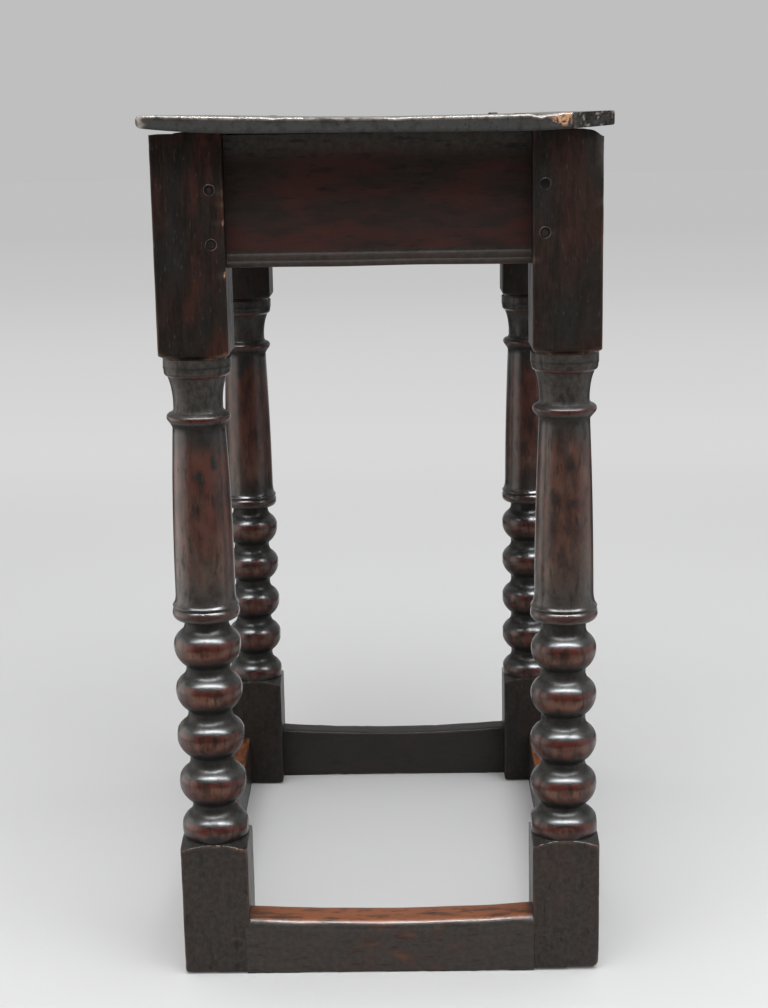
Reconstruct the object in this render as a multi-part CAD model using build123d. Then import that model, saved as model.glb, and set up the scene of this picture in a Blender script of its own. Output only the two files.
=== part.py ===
from build123d import *
import math
import os

# A joint stool in millimetres. The origin is on the floor, under the middle of the stool, +Z up.
# +X runs across the narrow way and +Y the long way. The front is the narrow end towards -Y.

# Frame, measured over the legs
frame_width = 275.0
frame_length = 392.0
leg_side = 43.0
leg_height = 548.0
arris_round = 1.2
foot_wear = 1.5

# Leg turning, from the lower block up: each rise is measured from the mark before it, and radii are
# from the leg's own axis
stock_reach = 32.0
shoulder_fall = 4.4
lower_block_top = 91.5
ball_count = 5
ball_radius = 21.8
ball_flank_radius = 14.2
ball_pitch = 31.4
ball_seat_rise = 4.3
ball_neck_length = 1.25
ball_upper_share = 0.519
neck_radius = 14.6
collar_neck_rise = 1.65
collar_bulge_radius = 20.2
collar_bulge_rise = 2.0
collar_radius = 21.8
collar_rise = 3.9
collar_groove_radius = 20.5
collar_groove_rise = 3.0
lip_radius = 21.4
lip_foot_rise = 0.7
lip_thickness = 1.1
flare_radius = 19.6
flare_rise = 3.1
column_foot_radius = 19.2
column_foot_rise = 5.0
column_middle_radius = 18.3
column_middle_rise = 48.5
column_top_radius = 16.5
column_top_rise = 61.0
ring_under_radius = 18.4
ring_under_rise = 3.6
ring_radius = 20.4
ring_rise = 3.4
ring_over_radius = 18.9
ring_over_rise = 2.7
throat_radius = 15.8
throat_foot_rise = 2.7
throat_length = 4.6
cavetto_radius = 16.6
cavetto_rise = 7.6
cavetto_lip_radius = 18.2
cavetto_lip_rise = 6.1
ovolo_foot_radius = 18.9
ovolo_foot_rise = 1.9
ovolo_middle_radius = 20.6
ovolo_middle_rise = 1.8
ovolo_top_radius = 21.2
ovolo_top_rise = 2.8
fillet_radius = 21.6
fillet_rise = 7.0

# Frieze rails, set back in the legs, each with a scratched bead along its lower edge
rail_height = 80.7
rail_thickness = 20.0
rail_recess = 12.0
rail_edge_round = 2.2
bead_base = 3.2
bead_width = 4.8
quirk_width = 0.8
quirk_depth = 1.3

# Stretchers, flush with the legs' outer faces and down at the floor, their tops worn hollow by feet
stretcher_thickness = 22.5
left_stretcher_thickness = 18.0
stretcher_edge_round = 2.4
front_stretcher_height = 39.6
front_stretcher_wear = 2.8
back_stretcher_height = 42.4
back_stretcher_wear = 3.6
side_stretcher_height = 42.0
side_stretcher_wear = 2.6

# Mortise and tenon joints
tenon_thickness = 8.0
rail_tenon_shoulder = 9.0
stretcher_tenon_shoulder = 7.0
stretcher_tenon_height = 26.0
stretcher_tenon_middle = 10.6
joint_clearance = 0.1
mitre_gap = 0.3

# Pegs, all of one size, driven in from the outer faces
peg_radius = 3.75
peg_from_shoulder = 7.5
peg_spacing = 1.25
peg_proud = 0.4
peg_tip_radius = 2.9
peg_tip_length = 5.0
peg_clearance = 0.05
peg_end_gap = 0.4
upper_peg_drop = 31.0
lower_peg_drop = 62.0
stretcher_peg_height = 22.0

# Top board, a little cupped, so that its long edges lift off the frame
top_side_overhang = 5.5
top_end_overhang = 18.0
top_thickness = 9.0
top_lift = 2.4
top_flat_width = 140.0
top_corner_round = 4.0
top_edge_round = 2.2
top_peg_in = 6.5
top_peg_depth = 32.0
raised_peg_proud = 1.4

# The break that took the front right corner off the top
break_width = 29.0
break_slant = 9.0
break_depth = 13.0
break_wander = 1.6

# Values that follow from the sizes above
rail_bottom = leg_height - rail_height
rail_tenon_bottom = rail_bottom + rail_tenon_shoulder
rail_tenon_height = rail_height - 2 * rail_tenon_shoulder
rail_middle = rail_recess + rail_thickness / 2
peg_in = leg_side - peg_from_shoulder
peg_length = peg_in - peg_radius - peg_spacing
rail_peg_heights = (leg_height - upper_peg_drop, leg_height - lower_peg_drop)
stretcher_peg_heights = (stretcher_peg_height,)
top_width = frame_width + 2 * top_side_overhang
top_length = frame_length + 2 * top_end_overhang
overcut = 1.0

# Each side of the stool is drawn as if it were the front: X along the run, Y inward from the
# legs' outer faces. Its turn about +Z, its run over the legs, and the distance to the far side:
sides = {
    "front": (0, frame_width, frame_length),
    "right": (90, frame_length, frame_width),
    "back": (180, frame_width, frame_length),
    "left": (270, frame_length, frame_width),
}
corners = {
    "front_left": (0, -1, -1),
    "front_right": (90, 1, -1),
    "back_right": (180, 1, 1),
    "back_left": (270, -1, 1),
}
stretcher_sizes = {
    "front": (front_stretcher_height, front_stretcher_wear, stretcher_thickness),
    "right": (side_stretcher_height, side_stretcher_wear, stretcher_thickness),
    "back": (back_stretcher_height, back_stretcher_wear, stretcher_thickness),
    "left": (side_stretcher_height, side_stretcher_wear, left_stretcher_thickness),
}


def on_side(name, solid):
    """Turns a piece drawn for the front into its own side of the stool."""
    turn, run, across = sides[name]
    return Rot(0, 0, turn) * Pos(0, -across / 2, 0) * solid


def polar(centre, size, angle):
    return (centre[0] + size * math.cos(angle), centre[1] + size * math.sin(angle))


def cove(centre, side):
    """From a ball's flank into the neck above it (side 1) or below it (side -1)."""
    share = ball_upper_share if side > 0 else 1 - ball_upper_share
    rise = (ball_pitch - ball_neck_length) * share
    inset = neck_radius - centre[0]
    size = (inset**2 + rise**2 - ball_flank_radius**2) / (2 * (ball_flank_radius - inset))
    angle = side * math.acos((inset + size) / (ball_flank_radius + size))
    middle = polar(centre, ball_flank_radius + size, angle)
    join = polar(centre, ball_flank_radius, angle)
    bend = polar(middle, size, math.pi + angle / 2)
    neck = polar(middle, size, math.pi)
    return join, bend, neck


def turned_section():
    """Half section of the turning, radius against height; past the stock where the leg stays square."""
    seat_angle = -math.asin(ball_seat_rise / ball_flank_radius)
    lines = [Line((0, 0), (stock_reach, 0))]
    here = (stock_reach, 0)

    def straight_to(*points):
        nonlocal here
        for point in points:
            lines.append(Line(here, point))
            here = point

    def curve_to(bend, end):
        nonlocal here
        lines.append(ThreePointArc(here, bend, end))
        here = end

    def straight_up(*steps):
        for radius, rise in steps:
            straight_to((radius, here[1] + rise))

    def curve_up(bend, end):
        bend_height = here[1] + bend[1]
        curve_to((bend[0], bend_height), (end[0], bend_height + end[1]))

    straight_to((stock_reach, lower_block_top - shoulder_fall))
    for number in range(ball_count):
        height = lower_block_top + ball_seat_rise + number * ball_pitch
        centre = (ball_radius - ball_flank_radius, height)
        if number:
            join, bend, neck = cove(centre, -1)
            straight_to(neck)
            curve_to(bend, join)
        else:
            straight_to(polar(centre, ball_flank_radius, seat_angle))
        join, bend, neck = cove(centre, 1)
        curve_to(polar(centre, ball_flank_radius, 0), join)
        curve_to(bend, neck)

    straight_up((neck_radius, collar_neck_rise))
    curve_up((collar_bulge_radius, collar_bulge_rise), (collar_radius, collar_rise))
    straight_up((collar_groove_radius, collar_groove_rise), (lip_radius, lip_foot_rise))
    straight_up((lip_radius, lip_thickness))
    curve_up((flare_radius, flare_rise), (column_foot_radius, column_foot_rise))
    curve_up((column_middle_radius, column_middle_rise), (column_top_radius, column_top_rise))

    straight_up((ring_under_radius, ring_under_rise))
    curve_up((ring_radius, ring_rise), (ring_over_radius, ring_over_rise))
    straight_up((throat_radius, throat_foot_rise), (throat_radius, throat_length))
    curve_up((cavetto_radius, cavetto_rise), (cavetto_lip_radius, cavetto_lip_rise))
    straight_up((ovolo_foot_radius, ovolo_foot_rise))
    curve_up((ovolo_middle_radius, ovolo_middle_rise), (ovolo_top_radius, ovolo_top_rise))
    straight_up((fillet_radius, fillet_rise), (stock_reach, shoulder_fall))
    straight_to((stock_reach, leg_height), (0, leg_height), (0, 0))
    return make_face(Plane.XZ * (Curve() + lines))


def peg(length, proud):
    """A tapered peg along +Y from the face at Y = 0, its eased head standing proud of that face."""
    outline = Polyline(
        (0, -proud),
        (peg_radius - proud, -proud),
        (peg_radius, 0),
        (peg_radius, length - peg_tip_length),
        (peg_tip_radius, length),
        (0, length),
        (0, -proud),
    )
    return revolve(make_face(outline), Axis.Y)


def peg_hole(length):
    """What a peg's hole takes out of the wood, from outside the face at Y = 0."""
    depth = length + peg_end_gap + overcut
    shaft = Cylinder(peg_radius + peg_clearance, depth, align=(Align.CENTER, Align.CENTER, Align.MIN))
    return Pos(0, -overcut, 0) * Rot(-90, 0, 0) * shaft


def side_pegs(run, heights, solid):
    """Copies of a peg or its hole at both ends of a side drawn as the front."""
    return [
        Pos(end * (run / 2 - peg_in), 0, height) * solid
        for end in (-1, 1)
        for height in heights
    ]


def mitred_tenons(run, middle, bottom, height):
    """Tenons at both ends of a side, mitred so as to meet the next side's tenons inside the leg."""
    near = middle - tenon_thickness / 2
    far = middle + tenon_thickness / 2
    outline = Polyline(
        (leg_side, near),
        (near + mitre_gap, near),
        (far + mitre_gap, far),
        (leg_side, far),
        (leg_side, near),
    )
    plan = extrude(make_face(outline), height)
    tenon = Pos(-run / 2, 0, bottom) * plan
    return [tenon, mirror(tenon, Plane.YZ)]


def mortise_pair(middle, bottom, height):
    """The two mortises of one leg corner, which run into each other, from the leg's outer corner."""
    near = middle - tenon_thickness / 2 - joint_clearance
    far = middle + tenon_thickness / 2 + joint_clearance
    mouth = leg_side + overcut
    outline = Polyline(
        (mouth, near),
        (near, near),
        (near, mouth),
        (far, mouth),
        (far, far),
        (mouth, far),
        (mouth, near),
    )
    deep = extrude(make_face(outline), height + 2 * joint_clearance)
    return Pos(0, 0, bottom - joint_clearance) * deep


def leg():
    """A leg on its own axis, with its outer faces towards -X and -Y."""
    stock = Box(leg_side, leg_side, leg_height, align=(Align.CENTER, Align.CENTER, Align.MIN))
    stock = chamfer(stock.faces().sort_by(Axis.Z)[0].edges(), foot_wear)
    stock = fillet(stock.edges().filter_by(Axis.Z), arris_round)
    turned = stock & revolve(turned_section(), Axis.Z)

    cuts = [
        mortise_pair(rail_middle, rail_tenon_bottom, rail_tenon_height),
        mortise_pair(stretcher_tenon_middle, stretcher_tenon_shoulder, stretcher_tenon_height),
    ]
    for height in rail_peg_heights + stretcher_peg_heights:
        cuts.append(Pos(peg_in, 0, height) * peg_hole(peg_length))
        cuts.append(Pos(0, peg_in, height) * Rot(0, 0, -90) * peg_hole(peg_length))
    return turned - [Pos(-leg_side / 2, -leg_side / 2, 0) * cut for cut in cuts]


def rail(run):
    """A frieze rail for a side drawn as the front, with its tenons and their peg holes."""
    face = rail_recess
    low_quirk = rail_bottom + bead_base
    bead_foot = low_quirk + quirk_width
    bead_top = bead_foot + bead_width
    bead_middle = (face, (bead_foot + bead_top) / 2)
    back = rail_recess + rail_thickness
    section = make_face(
        Plane.YZ
        * (
            Curve()
            + [
                Line((back, rail_bottom), (face + rail_edge_round, rail_bottom)),
                RadiusArc(
                    (face + rail_edge_round, rail_bottom),
                    (face, rail_bottom + rail_edge_round),
                    rail_edge_round,
                ),
                Line((face, rail_bottom + rail_edge_round), (face, low_quirk)),
                Line((face, low_quirk), (face + quirk_depth, bead_foot)),
                ThreePointArc(
                    (face + quirk_depth, bead_foot), bead_middle, (face + quirk_depth, bead_top)
                ),
                Line((face + quirk_depth, bead_top), (face, bead_top + quirk_width)),
                Line((face, bead_top + quirk_width), (face, leg_height)),
                Line((face, leg_height), (back, leg_height)),
                Line((back, leg_height), (back, rail_bottom)),
            ]
        )
    )
    span = run - 2 * leg_side
    body = extrude(section, span / 2, both=True)
    body = body + mitred_tenons(run, rail_middle, rail_tenon_bottom, rail_tenon_height)
    return body - side_pegs(run, rail_peg_heights, peg_hole(peg_length))


def stretcher(run, height, wear, thickness):
    """A stretcher for a side drawn as the front, its top hollowed by wear between the legs."""
    half = run / 2 - leg_side
    outline = Curve() + [
        Line((-half, 0), (half, 0)),
        Line((half, 0), (half, height)),
        ThreePointArc((half, height), (0, height - wear), (-half, height)),
        Line((-half, height), (-half, 0)),
    ]
    body = extrude(make_face(Plane.XZ * outline), -thickness)
    front_top = body.faces().sort_by(Axis.Y)[0].edges().sort_by(Axis.Z)[-1]
    body = fillet(front_top, stretcher_edge_round)
    tenons = mitred_tenons(run, stretcher_tenon_middle, stretcher_tenon_shoulder, stretcher_tenon_height)
    return body + tenons - side_pegs(run, stretcher_peg_heights, peg_hole(peg_length))


def top_surface(x):
    """Height of the cupped board's upper face above the frame, at a distance from its middle."""
    bow = ((top_width / 2) ** 2 + top_lift**2) / (2 * top_lift)
    return top_thickness + bow - math.sqrt(bow**2 - x**2)


def top_board():
    """The seat board, cupped across its width, with eased edges and its front right corner broken."""
    half = top_width / 2
    flat = top_flat_width / 2
    section = Curve() + [
        Line((-flat, 0), (flat, 0)),
        TangentArc((flat, 0), (half, top_lift), tangent=(1, 0)),
        Line((half, top_lift), (half, top_surface(half))),
        ThreePointArc((half, top_surface(half)), (0, top_thickness), (-half, top_surface(half))),
        Line((-half, top_surface(half)), (-half, top_lift)),
        TangentArc((-flat, 0), (-half, top_lift), tangent=(-1, 0)),
    ]
    board = extrude(make_face(Plane.XZ * section), top_length / 2, both=True)
    board = fillet(board.edges().filter_by(Axis.Z), top_corner_round)
    board = fillet(board.faces().sort_by(Axis.Z)[-1].edges(), top_edge_round)
    seams = (-flat, flat)
    lower_rim = [
        edge
        for edge in board.edges()
        if edge.center().Z <= top_lift and round(edge.center().X, 3) not in seams
    ]
    board = fillet(lower_rim, top_edge_round)

    corner = (half, -top_length / 2)
    broken = Polyline(
        (corner[0] - break_width, corner[1] - overcut),
        (corner[0] - break_width + break_slant, corner[1] + break_depth - break_wander),
        (corner[0] - break_slant, corner[1] + break_depth + break_wander),
        (corner[0] + overcut, corner[1] + break_depth),
        (corner[0] + overcut, corner[1] - overcut),
        (corner[0] - break_width, corner[1] - overcut),
    )
    board = board - extrude(make_face(broken), 2 * top_thickness)
    return Pos(0, 0, leg_height) * board


def top_peg_places():
    """Where the top's pegs stand: over the two end rails, near their shoulders."""
    across = frame_width / 2 - leg_side - top_peg_in
    along = frame_length / 2 - rail_middle
    return [(x, y) for y in (-along, along) for x in (-across, across)]


def top_peg_holes():
    across = top_peg_places()[-1][0]
    depth = top_surface(across) + top_peg_depth
    return [
        Pos(x, y, leg_height + top_surface(across)) * Rot(-90, 0, 0) * peg_hole(depth)
        for x, y in top_peg_places()
    ]


def top_pegs():
    """Pegs down through the top; the one at the back right has worked up a little."""
    pegs = []
    for x, y in top_peg_places():
        proud = raised_peg_proud if x > 0 and y > 0 else peg_proud
        length = top_surface(x) + top_peg_depth
        pegs.append(Pos(x, y, leg_height + top_surface(x)) * Rot(-90, 0, 0) * peg(length, proud))
    return pegs


pieces = {}
one_leg = leg()
for name, (turn, x_sign, y_sign) in corners.items():
    place = Pos(
        x_sign * (frame_width - leg_side) / 2,
        y_sign * (frame_length - leg_side) / 2,
        0,
    )
    pieces[f"{name}_leg"] = place * Rot(0, 0, turn) * one_leg

rail_peg = peg(peg_length, peg_proud)
for name, (turn, run, across) in sides.items():
    top_holes = top_peg_holes() if run == frame_width else []
    pieces[f"{name}_rail"] = on_side(name, rail(run)) - top_holes
    pieces[f"{name}_stretcher"] = on_side(name, stretcher(run, *stretcher_sizes[name]))
    rail_pegs = side_pegs(run, rail_peg_heights, rail_peg)
    stretcher_pegs = side_pegs(run, stretcher_peg_heights, rail_peg)
    pieces[f"{name}_rail_pegs"] = Compound([on_side(name, solid) for solid in rail_pegs])
    pieces[f"{name}_stretcher_pegs"] = Compound([on_side(name, solid) for solid in stretcher_pegs])

pieces["top_board"] = top_board() - top_peg_holes()
pieces["top_pegs"] = Compound(top_pegs())

os.makedirs("parts", exist_ok=True)
for name, piece in pieces.items():
    export_step(piece, f"parts/{name}.step")
    print(name, len(piece.solids()), round(piece.volume))
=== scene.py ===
import math

import bmesh
import bpy
from mathutils import Matrix, Vector, noise


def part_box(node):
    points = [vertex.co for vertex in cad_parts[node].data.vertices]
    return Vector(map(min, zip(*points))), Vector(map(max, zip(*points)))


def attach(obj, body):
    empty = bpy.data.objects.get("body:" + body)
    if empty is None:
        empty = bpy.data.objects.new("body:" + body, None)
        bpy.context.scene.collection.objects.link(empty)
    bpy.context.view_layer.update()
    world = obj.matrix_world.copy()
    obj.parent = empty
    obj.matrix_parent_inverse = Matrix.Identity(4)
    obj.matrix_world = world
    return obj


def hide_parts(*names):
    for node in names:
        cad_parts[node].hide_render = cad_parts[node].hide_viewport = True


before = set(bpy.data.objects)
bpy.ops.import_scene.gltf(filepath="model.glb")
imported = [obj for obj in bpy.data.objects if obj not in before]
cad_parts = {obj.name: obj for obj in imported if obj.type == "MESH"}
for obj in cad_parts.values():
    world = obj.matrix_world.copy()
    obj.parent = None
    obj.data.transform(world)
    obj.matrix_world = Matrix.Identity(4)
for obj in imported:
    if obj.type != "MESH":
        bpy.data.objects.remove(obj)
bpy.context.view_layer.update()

scene = bpy.context.scene
scene.view_settings.view_transform = "Standard"
mm = 0.001
origin = Vector((0, 0, 0))
xAxis, yAxis, zAxis = Vector((1, 0, 0)), Vector((0, 1, 0)), Vector((0, 0, 1))


def sizeOf(node):  # the two corners of a node's box, in mm
    return [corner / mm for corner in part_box(node)]


# The stool's own sizes in mm, all read from the frame
corners = {"front_left": (-1, -1), "front_right": (1, -1), "back_right": (1, 1), "back_left": (-1, 1)}
legBox = {name: sizeOf(name + "_leg") for name in corners}
legSide = legBox["front_left"][1].x - legBox["front_left"][0].x
legTop = legBox["front_left"][1].z
halfWidth = legBox["front_right"][1].x
halfLength = legBox["back_left"][1].y
sides = {  # the turn from the front to each side, half its run and half the way across
    "front": (0, halfWidth, halfLength),
    "right": (90, halfLength, halfWidth),
    "back": (180, halfWidth, halfLength),
    "left": (270, halfLength, halfWidth),
}
intoLeg = 0.8  # how far a rail or a stretcher runs on into each leg, in mm

# ---- camera

eye = {
    "lens": 65.39,  # on 36 mm, along the picture's long side
    "sensor": 36,
    "place": (0.01706, -1.32106, 0.56406),
    "down": 0.2143,  # the three turns are in radians
    "yaw": -0.0143,
    "roll": -0.0175,
}


def addObject(name, data):
    made = bpy.data.objects.new(name, data)
    scene.collection.objects.link(made)
    return made


def makeCamera():
    data = bpy.data.cameras.new("camera")
    data.lens = eye["lens"]
    data.sensor_width = eye["sensor"]
    camera = addObject("camera", data)
    down, yaw, roll = eye["down"], eye["yaw"], eye["roll"]
    ahead = Vector((math.sin(yaw) * math.cos(down), math.cos(yaw) * math.cos(down), -math.sin(down)))
    level = Vector((math.cos(yaw), -math.sin(yaw), 0))
    right = math.cos(roll) * level + math.sin(roll) * level.cross(ahead)
    turn = Matrix((right, right.cross(ahead), -ahead)).transposed()
    camera.matrix_world = Matrix.Translation(eye["place"]) @ turn.to_4x4()
    scene.camera = camera


makeCamera()
print("camera placed")


# ---- shader nodes


class Wire:  # a shader socket that can stand in sums
    def __init__(self, tree, socket=None):
        self.tree = tree
        self.socket = socket

    def node(self, kind, settings, inputs, output=0):  # settings go in before the sockets are filled
        made = self.tree.nodes.new("ShaderNode" + kind)
        for name, value in settings.items():
            setattr(made, name, value)
        for name, value in inputs.items():
            if isinstance(value, Wire):
                self.tree.links.new(value.socket, made.inputs[name])
            else:
                made.inputs[name].default_value = value
        return Wire(self.tree, made.outputs[output])

    def into(self, node, name):
        self.tree.links.new(self.socket, node.inputs[name])

    def sum(self, kind, first, second):
        return self.node("Math", {"operation": kind}, {0: first, 1: second})


for sign, kind in (("add", "ADD"), ("sub", "SUBTRACT"), ("mul", "MULTIPLY")):
    setattr(Wire, "__%s__" % sign, lambda self, other, kind=kind: self.sum(kind, self, other))
    setattr(Wire, "__r%s__" % sign, lambda self, other, kind=kind: self.sum(kind, other, self))


def limit(value):  # keeps a mask between 0 and 1
    return value.node("Clamp", {}, {"Value": value})


def step(value, low, high):  # a soft edge between two values
    inputs = {"Value": value, "From Min": low, "From Max": high}
    return value.node("MapRange", {"interpolation_type": "SMOOTHSTEP"}, inputs)


def tint(mask, below, above):  # from one colour to another as the mask goes from 0 to 1
    inputs = {0: mask, 6: below, 7: above}
    return mask.node("Mix", {"data_type": "RGBA", "clamp_factor": True}, inputs, 2)


def cloud(place, stretch, size, detail, grit):  # noise, drawn out by the stretch
    spread = place.node("Mapping", {}, {"Vector": place, "Scale": stretch})
    inputs = {"Vector": spread, "Scale": size, "Detail": detail, "Roughness": grit}
    return spread.node("TexNoise", {}, inputs)


# ---- oak

grainRuns = {"x": (0.07, 1, 1), "y": (1, 0.07, 1), "z": (1, 1, 0.07)}  # the grain's own way is drawn out

oakLooks = {
    "turnedOak": {
        "run": "z",
        "dark": (0.0085, 0.0068, 0.0056, 1), "brown": (0.024, 0.013, 0.009, 1),
        # the rubbed colour also paints glints along the blocks' shoulder lines
        "red": (0.085, 0.016, 0.0095, 1), "rubbed_and_glint": (0.155, 0.08, 0.046, 1),
        # the soil colour also paints shade under the balls and on their sides, and the dust colour a sheen on
        # their shoulders
        "soil": (0.009, 0.0098, 0.0088, 1), "dust": (0.065, 0.0565, 0.05, 1),
        "fleck": (0.0065, 0.0075, 0.0065, 1), "scratch": (0.11, 0.105, 0.1, 1),
        "redness": 0.13, "scratches": 0.16, "strokes": 0.22, "rough": 0.38,
        "shine": 0.08, "coat": 1.0, "relief": 0.16,
    },
    "frameOak": {
        "run": "x",
        "dark": (0.0175, 0.0145, 0.0122, 1), "brown": (0.027, 0.017, 0.0138, 1),
        "red": (0.048, 0.0155, 0.0125, 1), "rubbed_and_glint": (0.075, 0.032, 0.022, 1),
        # the dust colour also paints the light along the rails' tops under the seat
        "soil": (0.013, 0.014, 0.0115, 1), "dust": (0.05, 0.044, 0.039, 1),
        "fleck": (0.008, 0.0075, 0.0065, 1), "scratch": (0.045, 0.042, 0.038, 1),
        "redness": 0.6, "scratches": 0.03, "strokes": 0.08, "rough": 0.45,
        "shine": 0.08, "coat": 0.6, "relief": 0.07,
    },
    "wornOak": {
        "run": "x",
        "dark": (0.0125, 0.0105, 0.009, 1), "brown": (0.024, 0.0165, 0.013, 1),
        "red": (0.042, 0.015, 0.0105, 1), "rubbed_and_glint": (0.27, 0.085, 0.03, 1),
        "soil": (0.013, 0.013, 0.012, 1), "dust": (0.065, 0.056, 0.049, 1),
        "fleck": (0.009, 0.0085, 0.0078, 1), "scratch": (0.07, 0.065, 0.055, 1),
        "redness": 0.4, "scratches": 0.06, "strokes": 0.1, "rough": 0.42,
        "shine": 0.2, "coat": 0.6, "relief": 0.14,
    },
    "seatOak": {
        "run": "y",
        "dark": (0.0105, 0.0098, 0.009, 1), "brown": (0.024, 0.02, 0.017, 1),
        # the pale rubbed colour also paints the highlight along the seat's top arris
        "red": (0.034, 0.018, 0.013, 1), "rubbed_and_glint": (0.42, 0.37, 0.33, 1),
        "soil": (0.048, 0.047, 0.0455, 1), "dust": (0.07, 0.068, 0.066, 1),
        "fleck": (0.01, 0.01, 0.0095, 1), "scratch": (0.16, 0.155, 0.14, 1),
        "redness": 0.35, "scratches": 0.2, "strokes": 0.1, "rough": 0.38,
        "shine": 0.1, "coat": 0.7, "relief": 0.12,
    },
    "pegOak": {
        "run": "z",
        "dark": (0.009, 0.008, 0.007, 1), "brown": (0.019, 0.013, 0.01, 1),
        "red": (0.034, 0.012, 0.009, 1), "rubbed_and_glint": (0.1, 0.088, 0.075, 1),
        "soil": (0.006, 0.006, 0.006, 1), "dust": (0.06, 0.055, 0.05, 1),
        "fleck": (0.006, 0.006, 0.006, 1), "scratch": (0.08, 0.075, 0.07, 1),
        "redness": 0.3, "scratches": 0.03, "strokes": 0.0, "rough": 0.42,
        "shine": 0.05, "coat": 0.0, "relief": 0.1,
    },
}


rawColour = (0.62, 0.33, 0.18, 1)  # oak where a splinter has just gone
wearNames = ("rubbed_and_glint", "soiled_and_shaded", "ruddy", "waxed", "dust_and_painted_light", "raw")  # painted on each piece, 0 to 1; besides wear and dirt, they also carry painted shade, painted highlights and painted sheen
clouds = {  # which way each is drawn out, then its size, detail and grit
    "mottle": ("half", 170, 7.0, 0.66),
    "patch": ("half", 55, 4.0, 0.6),
    "fibre": ("full", 800, 4.0, 0.65),
    "fleck": ("half", 240, 4.0, 0.6),
    "scuff": ("half", 720, 2.0, 0.55),
    "speck": ("none", 260, 5.0, 0.7),
    "stroke": ("half", 470, 2.0, 0.5),
    "pore": ("full", 1500, 1.0, 0.5),
}
cuts = {  # where a cloud begins to count for each mask, and where it counts in full
    "wood": (0.42, 0.60), "red": (0.45, 0.60), "wear": (0.38, 0.60), "soil": (0.3, 0.6),
    "dust": (0.38, 0.64), "fleck": (0.56, 0.68), "scratch": (0.64, 0.74), "stroke": (0.63, 0.76),
    "raw": (0.47, 0.56), "pore": (0.55, 0.75),
}
polish = {"Coat Roughness": 0.25, "Coat IOR": 1.42}
bumpStrength = 0.6


def makeOak(name, look, run=None):
    material = bpy.data.materials.new(name)
    material.use_nodes = True
    tree = material.node_tree
    shader = tree.nodes["Principled BSDF"]
    run = grainRuns[run or look["run"]]
    stretch = {"full": run, "half": [value**0.5 for value in run], "none": (1, 1, 1)}
    place = Wire(tree).node("TexCoord", {}, {}, "Object")
    rubbed_and_glint, soiled_and_shaded, ruddy, waxed, dust_and_painted_light, raw = (
        place.node("Attribute", {"attribute_name": wear}, {}, "Fac") for wear in wearNames
    )
    mottle, patch, fibre, fleck, scuff, speck, stroke, pore = (
        cloud(place, stretch[way], *rest) for way, *rest in clouds.values()
    )

    woodMask = limit(step(mottle, *cuts["wood"]) * 0.6 + step(fibre, *cuts["wood"]) * 0.55)
    redMask = step(patch, *cuts["red"]) * look["redness"]
    redMask = limit(redMask + ruddy * (0.25 + 0.9 * step(mottle, *cuts["wear"])))
    # Rubbed marks also paint highlights, soiled marks also paint shade, and dusty marks also paint sheen and
    # light.
    rubAndGlintMask = limit(rubbed_and_glint * (0.35 + step(mottle, *cuts["wear"])))
    soilAndShadeMask = limit(soiled_and_shaded * (0.6 + 0.7 * step(mottle, *cuts["soil"])))
    dustAndLightMask = limit(dust_and_painted_light * (0.65 + 0.6 * step(speck, *cuts["dust"])))
    fleckMask = step(fleck, *cuts["fleck"])
    scratchMask = step(scuff, *cuts["scratch"]) * look["scratches"]
    strokeMask = step(stroke, *cuts["stroke"]) * (1 - waxed) * look["strokes"]
    rawMask = limit(raw * 1.6 * step(speck, *cuts["raw"]))

    colour = tint(woodMask, look["dark"], look["brown"])
    for mask, shade in (
        (redMask, look["red"]),
        (rubAndGlintMask, look["rubbed_and_glint"]),
        (soilAndShadeMask, look["soil"]),
        (dustAndLightMask, look["dust"]),
        (fleckMask * 0.5, look["fleck"]),
        (limit(scratchMask + strokeMask), look["scratch"]),
        (rawMask, rawColour),
    ):
        colour = tint(mask, colour, shade)
    colour.into(shader, "Base Color")

    rough = look["rough"] + 0.25 * (mottle - 0.5) + 0.10 * soilAndShadeMask + 0.2 * scratchMask + 0.12 * fleckMask
    limit(rough).into(shader, "Roughness")
    coat = look["coat"] * waxed * (0.55 + 0.8 * mottle) * (1 - 0.5 * fleckMask)
    coat.into(shader, "Coat Weight")
    height = mottle * 0.7 + fibre * 0.4 - fleckMask * 0.4 - step(pore, *cuts["pore"]) * 0.2 - scratchMask * 0.3
    relief = {"Strength": bumpStrength, "Distance": look["relief"] * mm, "Height": height}
    place.node("Bump", {}, relief).into(shader, "Normal")
    for name, value in {"Specular IOR Level": look["shine"], **polish}.items():
        shader.inputs[name].default_value = value
    return material


oak = {name: makeOak(name, look) for name, look in oakLooks.items()}
oak["frameOakLong"] = makeOak("frameOakLong", oakLooks["frameOak"], "y")
oak["wornOakLong"] = makeOak("wornOakLong", oakLooks["wornOak"], "y")
print("oak mixed")


# ---- shaping


def smooth(low, high, value):  # from 0 to 1 as the value goes from low to high
    share = min(max((value - low) / (high - low), 0), 1)
    return share * share * (3 - 2 * share)


def fade(low, high, value):  # from 1 to 0
    return 1 - smooth(low, high, value)


def band(ends, value):  # up over the first two ends, down over the last two
    return smooth(*ends[:2], value) * fade(*ends[2:], value)


def ripple(point, size, seed=0.0):  # noise from -1 to 1 over waves of that size, in mm
    return noise.noise(Vector(point) / size + Vector((seed, seed * 0.7, -seed)))


def ripples(point, waves, seed):  # waves given as length and depth
    return sum(depth * ripple(point, size, seed) for size, depth in waves)


def arc(centre, radius, start, end, count):  # points on a circle, by angle
    angles = [start + (end - start) * number / count for number in range(count + 1)]
    return [(centre[0] + radius * math.cos(angle), centre[1] + radius * math.sin(angle)) for angle in angles]


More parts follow.
